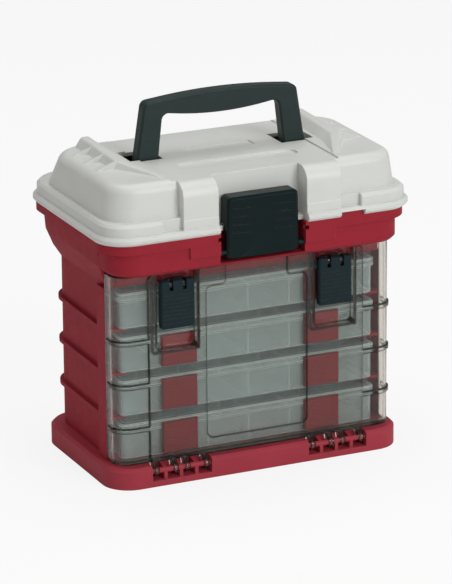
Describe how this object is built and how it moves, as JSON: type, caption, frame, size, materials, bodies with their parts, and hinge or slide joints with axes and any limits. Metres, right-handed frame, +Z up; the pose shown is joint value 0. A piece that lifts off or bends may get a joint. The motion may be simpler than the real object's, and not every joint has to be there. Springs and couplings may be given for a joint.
{
  "type": "fishing tackle cabinet",
  "caption": "Moulded tackle cabinet: clear drop-down door over a stack of utility boxes, storage tub on top under a hinged lid with a bail handle and a snap latch",
  "frame": {"origin": "centre of the flat underside of the foot", "axes": "+Z up, +X to the right seen from the front, +Y from the front to the back"},
  "size_m": [0.284, 0.1925, 0.3126],
  "materials": {
    "maroon_plastic": "maroon moulded plastic with a light grain",
    "lid_plastic": "light warm grey moulded plastic",
    "handle_plastic": "dark green-black moulded plastic",
    "latch_plastic": "dark blue-grey moulded plastic",
    "smoke_clear": "clear smoke-tinted plastic",
    "box_clear": "translucent natural plastic",
    "box_latch_plastic": "maroon snap latch",
    "pin_steel": "plain steel pin"
  },
  "bodies": {
    "cabinet": {"foot_plate": "maroon_plastic", "rack_body": "maroon_plastic", "storage_tub": "maroon_plastic", "lid_hinge_pin_left": "pin_steel", "lid_hinge_pin_right": "pin_steel"},
    "lid": {"lid": "lid_plastic"},
    "handle": {"carry_handle": "handle_plastic"},
    "main_latch": {"main_latch": "handle_plastic"},
    "door": {"door": "smoke_clear"},
    "door_latch_left": {"door_latch_left": "latch_plastic"},
    "door_latch_right": {"door_latch_right": "latch_plastic"},
    "utility_box_1": {"box_1_tray": "box_clear", "box_1_lid": "box_clear", "box_1_latch_left": "box_latch_plastic", "box_1_latch_right": "box_latch_plastic", "box_1_dividers": "box_clear"},
    "utility_box_2": {"box_2_tray": "box_clear", "box_2_lid": "box_clear", "box_2_latch_left": "box_latch_plastic", "box_2_latch_right": "box_latch_plastic", "box_2_dividers": "box_clear"},
    "utility_box_3": {"box_3_tray": "box_clear", "box_3_lid": "box_clear", "box_3_latch_left": "box_latch_plastic", "box_3_latch_right": "box_latch_plastic", "box_3_dividers": "box_clear"},
    "utility_box_4": {"box_4_tray": "box_clear", "box_4_lid": "box_clear", "box_4_latch_left": "box_latch_plastic", "box_4_latch_right": "box_latch_plastic", "box_4_dividers": "box_clear"}
  },
  "joints": [
    {"name": "lid_hinge", "type": "hinge", "parent": "cabinet", "child": "lid", "pos_m": [0, 0.097, 0.209], "axis": [-1, 0, 0], "range_deg": [0, 100]},
    {"name": "handle_pivot", "type": "hinge", "parent": "lid", "child": "handle", "pos_m": [0, 0, 0.2545], "axis": [1, 0, 0], "range_deg": [-60, 0]},
    {"name": "main_latch_pivot", "type": "hinge", "parent": "cabinet", "child": "main_latch", "pos_m": [0, -0.083, 0.196], "axis": [1, 0, 0], "range_deg": [0, 100]},
    {"name": "door_hinge", "type": "hinge", "parent": "cabinet", "child": "door", "pos_m": [0, -0.0752, 0.0124], "axis": [1, 0, 0], "range_deg": [0, 90]},
    {"name": "door_latch_left_pivot", "type": "hinge", "parent": "door", "child": "door_latch_left", "pos_m": [-0.072, -0.0706, 0.1715], "axis": [-1, 0, 0], "range_deg": [0, 90]},
    {"name": "door_latch_right_pivot", "type": "hinge", "parent": "door", "child": "door_latch_right", "pos_m": [0.072, -0.0706, 0.1715], "axis": [-1, 0, 0], "range_deg": [0, 90]},
    {"name": "box_1_slide", "type": "slide", "parent": "cabinet", "child": "utility_box_1", "axis": [0, -1, 0], "range_m": [0, 0.0142]},
    {"name": "box_2_slide", "type": "slide", "parent": "cabinet", "child": "utility_box_2", "axis": [0, -1, 0], "range_m": [0, 0.0472]},
    {"name": "box_3_slide", "type": "slide", "parent": "cabinet", "child": "utility_box_3", "axis": [0, -1, 0], "range_m": [0, 0.0707]},
    {"name": "box_4_slide", "type": "slide", "parent": "cabinet", "child": "utility_box_4", "axis": [0, -1, 0], "range_m": [0, 0.0943]}
  ],
  "couplings": [
    {"joint": "box_1_slide", "follows": "door_hinge", "m_per_rad": 0.009},
    {"joint": "box_2_slide", "follows": "door_hinge", "m_per_rad": 0.03},
    {"joint": "box_3_slide", "follows": "door_hinge", "m_per_rad": 0.045},
    {"joint": "box_4_slide", "follows": "door_hinge", "m_per_rad": 0.06}
  ]
}
